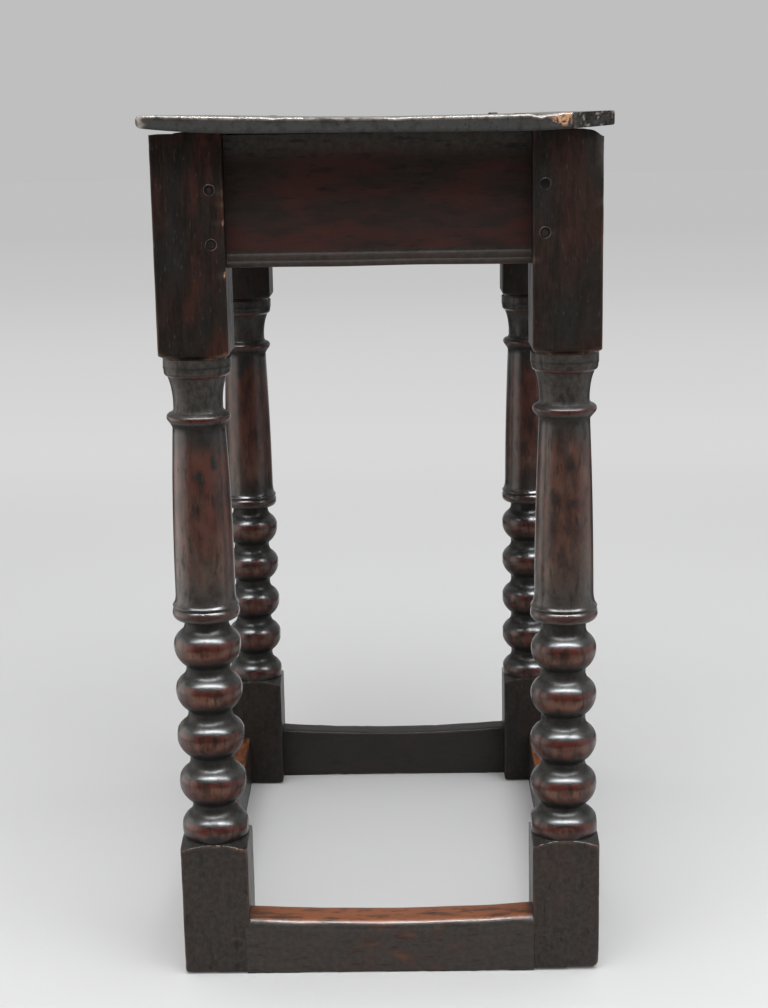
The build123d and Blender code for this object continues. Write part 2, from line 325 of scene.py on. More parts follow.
def bend(start, middle, end, count):  # points on a smooth curve through three places
    points = []
    for number in range(count + 1):
        share = number / count
        weights = (2 * (share - 0.5) * (share - 1), 4 * share * (1 - share), 2 * share * (share - 0.5))
        points.append(
            tuple(sum(w * place[axis] for w, place in zip(weights, (start, middle, end))) for axis in (0, 1))
        )
    return points


def refine(points, size):  # no stretch of the outline longer than the size
    made = [points[0]]
    for point in points[1:]:
        last = made[-1]
        length = math.dist(last, point)
        if length < 1e-6:
            continue
        count = max(1, math.ceil(length / size))
        for number in range(1, count + 1):
            share = number / count
            made.append(tuple(a + (b - a) * share for a, b in zip(last, point)))
    return made


def wearLayers(bm):
    return {name: bm.verts.layers.float.new(name) for name in wearNames}


def settle(vert, layers, place, wear):  # puts a point in its place, given in mm, and paints its wear
    vert.co = Vector(place) * mm
    for name, value in wear.items():
        vert[layers[name]] = value


def shape(bm, rule):  # the rule gives each point's new place and its wear
    layers = wearLayers(bm)
    for vert in bm.verts:
        settle(vert, layers, *rule(vert.co / mm))


def meshFrom(name, bm):
    mesh = bpy.data.meshes.new(name)
    bm.to_mesh(mesh)
    bm.free()
    return mesh


def lathe(bm, outline, axis, steps):  # turns an outline, given as radius and height, and returns its new points
    points = [bm.verts.new((radius * xAxis + height * axis) * mm) for radius, height in outline]
    edges = [bm.edges.new(pair) for pair in zip(points, points[1:])]
    bmesh.ops.spin(
        bm, geom=points + edges, cent=origin, axis=axis, angle=2 * math.pi, steps=steps, use_merge=True
    )
    fresh = [vert for vert in bm.verts if not vert.tag]
    for vert in fresh:
        vert.tag = True
    return fresh


def gridBox(bm, size, counts):  # a box with its six faces cut into a grid
    bmesh.ops.create_cube(bm, size=1)
    bmesh.ops.scale(bm, vec=Vector(size) * mm, verts=bm.verts)
    for axis, count in zip((xAxis, yAxis, zAxis), counts):
        edges = [
            edge
            for edge in bm.edges
            if abs((edge.verts[1].co - edge.verts[0].co).normalized().dot(axis)) > 0.9
        ]
        bmesh.ops.subdivide_edges(bm, edges=edges, cuts=count, use_grid_fill=True)


def gather(value, half, reach, power):  # pulls grid lines towards an edge, where the shape turns
    inward = half - abs(value)
    if inward < reach:
        inward = reach * (inward / reach) ** power
    return math.copysign(half - inward, value)


def roundOff(distance, depth, radius):  # a corner seen in section: both distances are inward from its faces
    a, b = radius - distance, radius - depth
    if a <= 0 or b <= 0:
        return distance, depth
    size = math.hypot(a, b)
    if size <= radius:
        return distance, depth
    return radius - a * radius / size, radius - b * radius / size


crease = 0.7  # radians, past which an edge is drawn sharp
weld = 1e-6  # points this close are one


def finishPiece(name, bm, material, *nodes):
    bmesh.ops.remove_doubles(bm, verts=bm.verts, dist=weld)
    bmesh.ops.recalc_face_normals(bm, faces=bm.faces)
    for face in bm.faces:
        face.smooth = True
    for edge in bm.edges:
        edge.smooth = edge.calc_face_angle(0) < crease
    mesh = meshFrom(name, bm)
    mesh.materials.append(oak[material])
    piece = addObject(name, mesh)
    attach(piece, "root")
    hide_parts(*nodes)
    return piece


# ---- legs

turning = {  # in mm, radius from the leg's own axis and height above the floor
    "reach": 32.0, "neck": 14.4, "drum": 21.6,
    "lowerTop": 91.5, "upperBottom": 411.2, "fall": 4.4,
    "over": (10.9, 7.1),  # the round and the cove above a ball's widest place
    "under": (16.9, 3.5),  # the same below it
    "ballStep": 0.6, "blockStep": 1.6, "shoulderStep": 0.9,
    "steps": 128,
}
collarShape = {  # radius and rise from the collar's widest line
    "seat": -5.9,
    "under": (20.2, -4.4),
    "widest": (21.9, 0),
    "groove": ((21.5, 1.6), (20.5, 2.7), (20.6, 3.2), (21.4, 3.7)),
    "lip": ((21.5, 4.3), (21.2, 4.9)),
    "flare": (19.8, 7.7),
    "columnFoot": 13,
}
ringShape = {  # radius and rise from the ring's widest line
    "columnTop": -6.8,
    "columnLift": 3,  # how much higher than halfway the column's middle sits
    "foot": (0.5, -5.4),  # radius from the column's own top
    "under": (18.4, -3.5),
    "widest": (20.4, 0),
    "over": (18.9, 2.6),
    "throat": ((16.6, 3.6), (15.8, 5.4)),
}
drumShape = {  # radius and height
    "throat": (15.8, 384.0),
    "cavetto": (16.6, 391.6),
    "lip": (18.2, 397.7),
    "fillet": ((18.5, 398.6), (18.8, 399.6), (19.8, 400.2)),
    "ovolo": ((20.9, 401.6), (21.2, 404.2)),
    "top": 405.0,
}
chips = {  # on a leg's front corners: which side, height, half length along the corner and depth, in mm
    "front_left": (
        (1, 514, 2.2, 0.9), (1, 507, 1.6, 0.6), (1, 496, 1.8, 0.8), (1, 464, 3.5, 0.9), (-1, 8, 6, 1.0)
    ),
    "front_right": ((1, 536, 18, 1.6), (1, 505, 4, 0.8), (-1, 470, 3, 0.6), (1, 6, 9, 2.6)),
    "back_right": ((1, 3, 5, 1.2), (-1, 60, 3, 0.7)),
    "back_left": ((-1, 4, 6, 1.0), (-1, 500, 4, 0.8)),
}
legHands = {  # every leg was turned by eye, so each has its own heights, lowest ball first
    "front_left": {
        "balls": ((98.6, 22.25), (130.0, 22.3), (162.1, 22.4), (193.1, 21.8), (223.5, 21.9)),
        "collar": 246.2, "column": (19.4, 18.9, 16.9), "ring": 373.4,
        "foot": (1.25, 0.5),  # how far the block is shifted and widened
        "head": (0.4, 0.5),
        "rise": 1.0, "bearing": 1.0,  # more height, and what the inner half of the top stands above the outer
        "redder": 0.35, "splintered": 1,
        "seed": 3.1,
    },
    "front_right": {
        "balls": ((96.9, 22.7), (125.4, 21.9), (155.5, 21.8), (186.9, 21.5), (217.6, 21.2)),
        "collar": 242.2, "column": (19.1, 18.2, 16.2), "ring": 375.2,
        "foot": (0.5, 0.3), "head": (0.0, 0.0),
        "knocked": (10, 5.5),  # the outer corner of the top, battered down: length and depth
        "footWorn": 1.9, "haze": 0.14, "pale": 0.16,
        "seed": 7.7,
    },
    "back_right": {
        "balls": ((94.9, 22.3), (127.1, 22.1), (158.5, 22.0), (191.1, 21.9), (222.4, 21.8)),
        "collar": 245.6, "column": (19.2, 18.4, 16.6), "ring": 374.0,
        "foot": (0.3, 0.1), "head": (0.0, 0.3),
        "seed": 12.4,
    },
    "back_left": {
        "balls": ((96.4, 22.2), (128.4, 22.3), (158.8, 22.0), (190.8, 21.9), (221.9, 21.9)),
        "collar": 244.6, "column": (19.2, 18.4, 16.6), "ring": 374.0,
        "foot": (0.3, 0.3), "head": (0.5, 0.9),
        "seed": 18.9,
    },
}
cornerWear = {  # in mm
    "arris": 1.5, "least": 0.5,
    "wander": (0.9, 22),  # how much the arris varies, and over what length
    "nick": (2.2, 6), "nickFrom": 0.25,
    "footRound": (3.3, 1.1),
    "headRound": 2.4, "headFrom": 2.0,
}
blockWear = {  # distances in mm, from a corner, from a shoulder or above the floor
    "rubbedCorner": (0.3, 1.6),
    "chipDust": (1, 9), "chipRaw": (0.3, 1.5),
    "darkTop": (490, 520),
    "rubAndGlintShoulder": (0.5, 2.6), "waxedShoulder": (0.3, 1.4),
    "inner": 0.25,  # how much barer the outward corners are
    "shade": 13,
    "press": ((30, 0.16), (11, 0.05)),  # dips of the faces: their length and depth
    "front": 0.45, "back": 0.2, "haze": 0.07,  # dust of the lower blocks, and of the upper ones
    "redder": 0.1,
}
ballWear = {  # rises from a ball's widest place, in mm
    "worn": (0.35, 0.75, 0.7, 0.95, 1.0),  # for each ball, lowest first
    "red": (0.2, 1.8, 3.8, 5.6), "below": (-11, -6, 0, 1.5),
    "rubbed_and_glint": (-8, -2.5, -0.6, 1.6), "darkFoot": (-4, 0.5),
    # darker over a ball's shoulder; painted shade under its widest place
    "darkOver": (3.9, 6), "shadeUnder": (-12, -4.5),
    # the dust over the shoulder also paints a sheen there
    "dustAndSheenOver": (4, 8), "dustUnder": (-8, -3),
    "waxOver": (7.5, 10.5), "waxUnder": (-7, -1),
    # how far round to the front a ball faces, which sets the painted shade on its sides
    "frontLit": (0.2, 0.95),
    "blur": ((9, 1.5), (3, 0.5)),  # over what length the bands wander, and how far
}
drumWear = {"lip": 400.6, "line": 406.2, "tan": (378, 384, 390, 398)}
hair = 0.001  # mm, so that a place on a block's own edge goes with what is below it
backShare = {"dust_and_painted_light": 0.4, "rubbed_and_glint": 0.6, "ruddy": 0.62}  # the far legs' turnings are duller


def ballRadius(height, middle, radius):  # how far a ball and its coves stand out from the leg's axis
    rise = height - middle
    size, cove = turning["over"] if rise > 0 else turning["under"]
    neck, centre = turning["neck"], radius - size
    angle = math.acos((neck - centre + cove) / (size + cove))
    rise, turn, end = abs(rise), size * math.sin(angle), (size + cove) * math.sin(angle)
    if rise < turn:
        return centre + math.sqrt(size**2 - rise**2)
    if rise < end:
        return neck + cove - math.sqrt(cove**2 - (end - rise) ** 2)
    return neck


def above(base, *places):  # places given as radius and rise
    return [(radius, base + rise) for radius, rise in places]


def legOutline(hand):  # from the middle of the foot up to the middle of the top
    t, c, r, d = turning, collarShape, ringShape, drumShape
    reach, fall, drum = t["reach"], t["fall"], t["drum"]
    collar, ring = hand["collar"], hand["ring"]
    points = refine([(0, 0), (reach, 0), (reach, t["lowerTop"] - fall)], t["blockStep"])
    start, end = t["lowerTop"], collar + c["seat"]
    count = round((end - start) / t["ballStep"])
    for number in range(count + 1):
        height = start + (end - start) * number / count
        point = (max(ballRadius(height, *ball) for ball in hand["balls"]), height)
        points += [point] if number else refine([points[-1], point], t["shoulderStep"])[1:]

    points += bend(*above(collar, (t["neck"], c["seat"]), c["under"], c["widest"]), 10)[1:]
    points += above(collar, *c["groove"], *c["lip"])
    low, middle, high = hand["column"]
    points += bend(points[-1], *above(collar, c["flare"], (low, c["columnFoot"])), 6)[1:]
    halfway = (collar + ring) / 2 + r["columnLift"]
    points += bend(points[-1], (middle, halfway), (high, ring + r["columnTop"]), 36)[1:]

    out, rise = r["foot"]
    points += above(ring, (high + out, rise), r["under"])
    points += bend(points[-1], *above(ring, r["widest"], r["over"]), 8)[1:]
    points += above(ring, *r["throat"])
    points += refine([points[-1], d["throat"]], 1.5)[1:]
    points += bend(d["throat"], d["cavetto"], d["lip"], 9)[1:]
    points += d["fillet"]
    points += bend(points[-1], *d["ovolo"], 6)[1:]
    points += refine([points[-1], (drum, d["top"]), (drum, t["upperBottom"])], 1.2)[1:]
    points += refine([points[-1], (reach, t["upperBottom"] + fall)], t["shoulderStep"])[1:]
    top = legTop + hand.get("rise", 0)
    points += refine([points[-1], (reach, top - 3), (reach, top), (0, top)], t["blockStep"])[1:]
    return points


def cornerShape(name, corner, z):  # how round a leg's corner is at a height, how chipped, and how it wanders
    w = cornerWear
    seed = legHands[name]["seed"] + 1.3 * corner[0] + 2.9 * corner[1]
    (deep, wave), (bite, length) = w["wander"], w["nick"]
    wander = noise.noise(Vector((seed, 0, z / wave)))
    nick = max(0, noise.noise(Vector((seed, 5, z / length))) - w["nickFrom"])
    arris = max(w["arris"] + deep * wander + bite * nick, w["least"])
    chipped = 0
    for side, height, size, depth in chips[name]:
        if corner == (side, -1):
            near = max(0, 1 - abs(z - height) / size) ** 0.7
            chipped = max(chipped, near)
            arris += depth * near
    return arris, chipped, wander


def rounding(radius, away):  # how far a rounded end draws in at that distance from it
    return radius - math.sqrt(max(radius**2 - (radius - away) ** 2, 0)) if away < radius else 0


def blockMarks(name, place, upper, wide, chipped, wander):  # wear on the faces of a leg's two blocks
    w, hand, (xSide, ySide) = blockWear, legHands[name], corners[name]
    x, y, z = place
    half = legSide / 2
    fromCorner = wide - min(abs(x), abs(y))
    bare = fade(*w["darkTop"], z) * (0.45 + 0.6 * wander) * (w["inner"] if upper and x * xSide <= 0 else 1)
    reach = (math.hypot(x, y) - turning["drum"]) / (turning["reach"] - turning["drum"])
    fall = turning["fall"] * reach
    edge = min(abs(z - turning["lowerTop"] + fall), abs(z - turning["upperBottom"] - fall))
    # worn and painted pale along the line where the turned shoulder meets the block's face, standing in for a
    # glint
    shoulder = 0.85 * fade(*w["rubAndGlintShoulder"], edge) * (0.8 + 0.5 * wander)
    shade = ripple((x, y, z * 0.4), w["shade"], hand["seed"] + 8)
    outer = 1 - 0.85 * smooth(0.2 * half, 0.85 * half, x * xSide)
    redder = hand.get("redder", w["redder"]) * smooth(-0.2, 0.5, -shade) * outer
    haze = hand.get("haze", w["haze"]) if upper else w["front"] if ySide < 0 else w["back"]
    raw = smooth(0.35, 0.9, chipped) * fade(*w["chipRaw"], fromCorner)
    return {
        "rubbed_and_glint": max(fade(*w["rubbedCorner"], fromCorner) * max(bare, chipped * 1.2), shoulder)
        * (0.5 if ySide > 0 else 1),
        "soiled_and_shaded": max(0.55 * smooth(-0.1, 0.4, shade), 0.5 if ySide > 0 else 0),
        "ruddy": redder if upper else 0,
        "waxed": max(0 if upper else 0.25, 0.8 * fade(*w["waxedShoulder"], edge)),
        "dust_and_painted_light": max(0.5 * chipped * fade(*w["chipDust"], fromCorner), haze),
        "raw": raw if upper and "splintered" in hand else 0,
    }


def ballMarks(hand, place, radius):
    w, seed = ballWear, hand["seed"]
    z = place[2]
    number = min(range(len(hand["balls"])), key=lambda at: abs(z - hand["balls"][at][0]))
    worn = (0.65 + 0.8 * ripple(place, 11, seed + 2)) * w["worn"][number]
    rise = z - hand["balls"][number][0] + ripples(place, w["blur"], seed + 5)
    # How far a place faces the light in front: the ball's sides, turned away, are painted in shade, and the red
    # and tan are kept strongest at the front.
    frontLit = smooth(*w["frontLit"], -place[1] / radius)
    red = 1.2 * band(w["red"], rise) * (0.6 + 0.4 * frontLit)
    # darker over the shoulder, and painted shade under the widest place, deepening towards the neck
    darkOverShadeUnder = max(0.9 * smooth(*w["darkOver"], rise), fade(*w["shadeUnder"], rise) * (0.7 + 0.4 * worn))
    foot = 0.85 * fade(*w["darkFoot"], rise) if number == 0 else 0
    # dust over the shoulder, which also paints a grey sheen there
    dust = 0.45 * smooth(*w["dustAndSheenOver"], rise) * (0.5 + 0.5 * worn)
    return {
        "ruddy": max(red, 0.75 * band(w["below"], rise)),
        "rubbed_and_glint": 0.62 * band(w["rubbed_and_glint"], rise) * worn * (0.3 + 0.7 * frontLit),
        "soiled_and_shaded": max(darkOverShadeUnder, 0.45 * (1 - frontLit), foot),
        "dust_and_painted_light": dust + 0.12 * fade(*w["dustUnder"], rise) * worn,
        "waxed": (0.3 + 0.7 * smooth(*w["waxUnder"], rise)) * (1 - 0.8 * smooth(*w["waxOver"], rise)),
    }


def collarMarks(hand, place, radius):
    return {
        "ruddy": 0.9 * fade(0, 2.6, abs(place[2] - hand["collar"])),
        "soiled_and_shaded": 0.8 * fade(19.6, 20.8, radius),
        "dust_and_painted_light": 0.3,
        "waxed": 1,
    }


def columnMarks(hand, place):
    x, y, z = place
    rise, seed, pale = z - hand["collar"], hand["seed"], hand.get("pale", 0)
    ends = min(rise - 7, hand["ring"] - 5 - z) + 6 * ripple(place, 12, seed)
    milky = fade(16, 70, rise)
    blotch = ripple((x, y, z * 0.6), 7, seed + 4)
    return {
        "ruddy": 0.8 * smooth(2, 24, ends),
        "soiled_and_shaded": max(0.7 * fade(2, 20, ends), 0.75 * smooth(0.25, 0.5, -blotch) * (1 - 0.6 * milky)),
        "rubbed_and_glint": (0.12 + pale + 0.4 * milky) * (0.7 + 1.1 * blotch),
        "dust_and_painted_light": (0.20 + 0.5 * pale + 0.38 * milky) * (1 + 0.5 * blotch),
        "waxed": 0.9 * fade(-9, -5, z - hand["ring"]),
    }


def drumMarks(hand, place):  # from the ring up to the block
    w, z = drumWear, place[2]
    lip = max(fade(0.6, 2.2, abs(z - hand["ring"])), fade(0.4, 1.6, abs(z - w["lip"])))
    tan = max(0, ripple(place, 20, hand["seed"] + 6)) * band(w["tan"], z)
    line = fade(0.4, 1.1, abs(z - w["line"]))
    return {
        "ruddy": 0.9 * lip,
        "soiled_and_shaded": max(0.8 * (1 - lip) * (1 - tan), line),
        "dust_and_painted_light": 0.68 * (1 - lip) * (1 - 0.7 * line),
        "waxed": max(0.9 * lip, 0.35),
    }


def turnedMarks(name, place, radius):
    hand, z = legHands[name], place[2]
    if z < hand["collar"] - 6:
        wear = ballMarks(hand, place, radius)
    elif z < hand["collar"] + 7:
        wear = collarMarks(hand, place, radius)
    elif z < hand["ring"] - 3:
        wear = columnMarks(hand, place)
    else:
        wear = drumMarks(hand, place)
    if corners[name][1] > 0:
        for kind, share in backShare.items():
            wear[kind] = wear.get(kind, 0) * share
    return wear


def shapeLeg(name, place):  # where a place on the turned outline ends up, and how worn it is
    hand, xSide = legHands[name], corners[name][0]
    half, seed = legSide / 2, hand["seed"]
    x, y, z = place
    radius = math.hypot(x, y)
    lower, upper = z < turning["lowerTop"] + hair, z > turning["upperBottom"] + hair
    arris, chipped, wander = cornerShape(name, (math.copysign(1, x), math.copysign(1, y)), z)
    size, more = cornerWear["footRound"]
    footRound = (size + more * wander) * (hand.get("footWorn", 1) if x > 0 else 1)
    wide = half - rounding(footRound, z)
    if upper:
        wide -= rounding(cornerWear["headRound"], max(z - turning["upperBottom"] - cornerWear["headFrom"], 0))

    inner = wide - arris
    cx, cy = min(max(x, -inner), inner), min(max(y, -inner), inner)
    reach = math.hypot(x - cx, y - cy)
    onFace = reach > arris
    if onFace:
        x, y = cx + (x - cx) * arris / reach, cy + (y - cy) * arris / reach
    if onFace and (lower or upper):
        wear = blockMarks(name, (x, y, z), upper, wide, chipped, wander)
        x *= 1 + hand["foot" if lower else "head"][1] / half
        press = ripples((x, y, z), blockWear["press"], seed)
        if abs(x) > abs(y):
            x += math.copysign(press, x)
        if abs(y) >= abs(x):
            y += math.copysign(press, y)
    elif lower or upper:
        wear = {"soiled_and_shaded": 0.7, "dust_and_painted_light": 0.3, "waxed": 0.5}
    else:
        wear = turnedMarks(name, (x, y, z), radius)
        press = 1 + 0.004 * ripple((x, y, z), 25, seed)
        x, y = x * press, y * press

    z += hand.get("bearing", 0) * smooth(-8, -6, x) * smooth(540, legTop, z)
    if "knocked" in hand and upper:
        long, tall = hand["knocked"]
        lost = smooth(half - long, half + 2, x * xSide) ** 1.3 * smooth(525, legTop, z)
        wear["dust_and_painted_light"] = max(wear["dust_and_painted_light"], 0.8 * smooth(half - 8, half, x * xSide) * smooth(510, 540, z))
        z -= lost * tall * (0.9 + 0.3 * ripple((x, y, 0), 6, seed))
    shift = hand["foot"][0] * fade(70, 160, z) + hand["head"][0] * smooth(390, 420, z)
    axis = (legBox[name][0] + legBox[name][1]) / 2
    return (axis.x + x + shift, axis.y + y, z), wear


def makeLeg(name):
    bm = bmesh.new()
    lathe(bm, legOutline(legHands[name]), zAxis, turning["steps"])
    bmesh.ops.remove_doubles(bm, verts=bm.verts, dist=weld)
    shape(bm, lambda place: shapeLeg(name, place))
    return finishPiece(name + "_leg_oak", bm, "turnedOak", name + "_leg")


for name in corners:
    makeLeg(name)
print("legs turned")


# ---- rails

railBox = sizeOf("front_rail")
railLook = {  # in mm, depth from the legs' outer faces
    "edge": 2.0, "base": 3.2, "quirk": 0.9, "bead": 4.6,
    "proud": 0.1, "sunk": 0.4, "step": 2.4,
    "press": ((35, 0.25), (12, 0.07)),  # dips of the face: their length and depth
    "sag": ((50, 0.35),),
}


def onSide(name, bm):  # from the front's place to a side's own
    turn, half, across = sides[name]
    forward = Matrix.Translation((0, -across * mm, 0))
    bmesh.ops.transform(bm, matrix=Matrix.Rotation(math.radians(turn), 4, "Z") @ forward, verts=bm.verts)


def alongGrain(name, material):  # long sides take the oak whose grain runs along them
    return material + ("Long" if sides[name][0] % 180 else "")


def makeRail(name):
    turn, half = sides[name][:2]
    half += intoLeg - legSide
    r, (low, high) = railLook, railBox
    face, back = low.y + halfLength, high.y + halfLength
    bottom, top = low.z, high.z
    quirkFoot = bottom + r["base"]
    beadFoot = quirkFoot + r["quirk"]
    beadTop = beadFoot + r["bead"]
    beadMiddle, sunk = (beadFoot + beadTop) / 2, face + r["sunk"]
    outline = [(back, top), (back, bottom), (face + r["edge"], bottom)]
    outline += arc((face + r["edge"], bottom + r["edge"]), r["edge"], -math.pi / 2, -math.pi, 5)[1:]
    outline += [(face, quirkFoot), (sunk, beadFoot - 0.2)]
    outline += bend((sunk, beadFoot), (face - r["proud"], beadMiddle), (sunk, beadTop), 8)
    outline += [(sunk, beadTop + 0.2), (face, beadTop + r["quirk"]), (face, top), (back, top)]
    outline = refine(outline, r["step"])[:-1]
    bm = bmesh.new()
    layers = wearLayers(bm)
    loop = [bm.verts.new(Vector((-half, depth, height)) * mm) for depth, height in outline]
    edges = [bm.edges.new(pair) for pair in zip(loop, loop[1:] + loop[:1])]
    count = math.ceil(2 * half / r["step"])
    stride = 2 * half / count * mm * xAxis
    bmesh.ops.spin(bm, geom=loop + edges, cent=origin, axis=zAxis, angle=0, dvec=stride, steps=count)
    ends = [edge for edge in bm.edges if edge.is_boundary]
    bmesh.ops.holes_fill(bm, edges=ends, sides=0)
    seed = turn / 31
    for vert in bm.verts:
        x, y, z = vert.co / mm
        front = fade(face + 1, face + 4, y)
        press = ripples((x, 0, z), r["press"], seed)
        sag = ripples((x, 0, 0), r["sag"], seed) * fade(bottom, bottom + 12, z)
        bead = fade(0.4, 2.4, abs(z - beadMiddle))
        lip = fade(0.5, 3.0, abs(z - bottom))
        quirks = fade(0.5, 1.6, min(abs(z - beadFoot), abs(z - beadTop)))
        red = fade(bottom + 8, top - 14, z) * (0.35 + 0.5 * ripple((x * 0.3, 0, z), 16, seed))
        # painted light along the rail's top, lifting the shade under the seat's overhang; dust over the bead and
        # the lower edge
        dust = max(0.9 * smooth(top - 18, top - 3, z), 0.7 * fade(beadTop, beadTop + 2, z))
        wear = {
            "rubbed_and_glint": front * 0.2 * max(bead, lip) * (0.6 + 0.8 * ripple((x, 0, z), 20, seed)),
            "soiled_and_shaded": max(quirks * front * 0.4, 0.3 * fade(0, 4, half - abs(x))),
            "ruddy": front * red,
            "dust_and_painted_light": front * dust,
        }
        settle(vert, layers, (x, y + press * front, z + sag), wear)
    onSide(name, bm)
    return finishPiece(name + "_rail_oak", bm, alongGrain(name, "frameOak"), name + "_rail")


for name in sides:
    makeRail(name)
print("rails run")


# ---- stretchers

stretcherLook = {  # in mm
    "step": 2.4,
    "cuts": (12, 18),
    "topRound": 6.5, "backRound": 2.2, "edgeRound": 1.4,
    "dish": ((22, 0.3),),
    "press": ((30, 0.3), (10, 0.08)),
    "foot": ((20, 0.7), (6, 0.5)),
}
stretcherHands = {  # how feet have worn each: wear and low in mm, thinner at its two ends, the rest in shares
    "front": {"wear": 2.8, "bare": 1.55, "dust": 1, "polish": 1, "patch": 1, "seed": 2.2},
    "right": {"wear": 2.6, "bare": 0.8, "dust": 0.2, "polish": 1, "seed": 5.9},
    "back": {"wear": 3.8, "bare": 0.1, "dust": 0.2, "polish": 0, "low": 0.8, "soil": 0.6, "seed": 9.1},
    "left": {"wear": 2.6, "bare": 0.9, "dust": 0.2, "polish": 1, "thinner": (1.5, -2.0), "seed": 13.6},
}


def stretcherSection(hand, x, y, z, thickness, height):  # rounds a place off at the top and at the front's foot
    s, seed = stretcherLook, hand["seed"]
    wander = ripple((x, 0, 0), 30, seed)
    nick = max(0, ripple((x, 0, 0), 8, seed + 4) - 0.2)
    fromFront, fromTop = y + thickness / 2, height / 2 - z
    fromFront, fromTop = roundOff(fromFront, fromTop, s["topRound"] + 0.9 * wander + 2.5 * nick)
    fromBack, fromTop = roundOff(thickness / 2 - y, fromTop, s["backRound"] + 0.8 * wander)
    y = fromFront - thickness / 2 if fromFront < thickness / 2 else thickness / 2 - fromBack
    fromFront, z = roundOff(y + thickness / 2, height - fromTop, s["edgeRound"])
    return (fromFront - thickness / 2 if y < 0 else y), z


def shapeStretcher(name, place, half, thickness, height):
    s, hand = stretcherLook, stretcherHands[name]
    seed, low, (left, right) = hand["seed"], hand.get("low", 0), hand.get("thinner", (0, 0))
    x = place.x
    y = gather(place.y, thickness / 2, 6, 1.6)
    z = gather(place.z, height / 2, 8, 1.6)
    y, z = stretcherSection(hand, x, y, z, thickness, height)
    along = x / half
    worn = hand["wear"] * (1 - along**2) * smooth(0.3 * height, height, z)
    dish = ripples((x, y, 0), s["dish"], seed) * smooth(0.6 * height, height, z)
    if y < 1 - thickness / 2:
        y += ripples((x, 0, z), s["press"], seed)
    if y > 0:
        y -= left + (right - left) * (along + 1) / 2
    top = smooth(height - 3.2, height - 0.6, z)
    edge = fade(4, 8, y + thickness / 2) * smooth(height - 8, height - 5, z) * fade(0.82, 0.9, abs(along))
    patch = fade(0.25, 0.6, abs(along)) * smooth(0.05, 0.4, ripple((x, 0, z * 1.5), 12, seed + 7))
    patch *= hand.get("patch", 0)
    bare = top * hand["bare"] * (0.75 + 0.35 * ripple((x, y, 0), 30, seed + 2))
    wear = {
        "rubbed_and_glint": max(bare, 0.22 * patch * (1 - top)),
        "ruddy": 0.4 * (1 - top) * smooth(0, 0.5, ripple((x, y, z), 20, seed + 3)),
        "waxed": max(0.3 * (1 - top) + 0.15 * top, edge * hand["polish"]),
        "dust_and_painted_light": 0.45 * (1 - top) * hand["dust"] * (1 - 0.5 * patch),
    }
    z += fade(0, 4, z) * ripples((x, 0, 0), s["foot"], seed + 6)
    wear["soiled_and_shaded"] = max(0.75 * fade(0, 6, half - abs(x)), 0.6 * fade(0, 5, z), hand.get("soil", 0))
    z += dish - worn - low * z / height
    arch = 0.9 * low * (1 - along**2) * (1 - z / height)
    return (x, y + thickness / 2, max(z, 0) + arch), wear


def makeStretcher(name):
    low, high = sizeOf(name + "_stretcher")
    thickness, height = min(high.x - low.x, high.y - low.y), high.z - low.z
    half = sides[name][1] - legSide + intoLeg
    bm = bmesh.new()
    counts = (round(2 * half / stretcherLook["step"]), *stretcherLook["cuts"])
    gridBox(bm, (2 * half, thickness, height), counts)
    shape(bm, lambda place: shapeStretcher(name, place, half, thickness, height))
    onSide(name, bm)
    return finishPiece(name + "_stretcher_oak", bm, alongGrain(name, "wornOak"), name + "_stretcher")


for name in sides:
    makeStretcher(name)
print("stretchers laid")


# ---- seat board

boardBox = sizeOf("top_board")
board = {  # in mm
    "thickness": 9.0,
    "thin": 1.0,  # lost from the top by halfway back, twice that at the far edge
    "lift": 2.4,
    "under": {-1: (3.8, 75.0), 1: (3.1, 78.0)},  # rise of the underside at each long edge, and where it starts
    "corner": 4.0, "edge": 1.0,
    "tilt": (0.5, -0.0075),  # how far it has risen, at the middle and for each mm to the right
    "step": 3.0, "cuts": 7, "gather": (15, 2.0),
    "waves": ((60, 0.35, 0), (20, 0.12, 1)),  # of the worn top: length, depth and what is added to the seed
    "seed": 21.3,
    "dents": ((98, 6, 1.8), (106, 4, 0.8), (-60, 6, 0.5), (12, 5, 0.5)),  # near edge: place, half length, depth
    "splinter": (110.5, 6.5),  # the raw place on the near edge: middle and half length
}
breakPlan = {"width": 26.0, "depth": 13.0, "slant": 8.5, "rough": 1.3, "over": 12, "tall": 40}  # in mm
breakCuts = (44, 26, 36)


def bump(place, middle, half):  # 1 at the middle, 0 at half a length away
    return max(0, 1 - ((place - middle) / half) ** 2)


def seatHeight(x, y, share):  # how high the board is at a place, from its underside to its top
    lift, seed = board["lift"], board["seed"]
    halfX, halfY = boardBox[1].x, boardBox[1].y
    bow = (halfX**2 + lift**2) / (2 * lift)
    top = board["thickness"] + bow - math.sqrt(bow**2 - x * x) - board["thin"] * (1 + y / halfY)
    top += sum(depth * ripple((x, y, 0), size, seed + more) for size, depth, more in board["waves"])
    for middle, half, depth in board["dents"]:
        top -= depth * bump(x, middle, half) * fade(0, 4, y + halfY)
    rise, flat = board["under"][1 if x > 0 else -1]
    under = rise * (max(0, abs(x) - flat) / (halfX - flat)) ** 2
    level, slope = board["tilt"]
    return legTop + level + slope * x + under + (top - under) * share


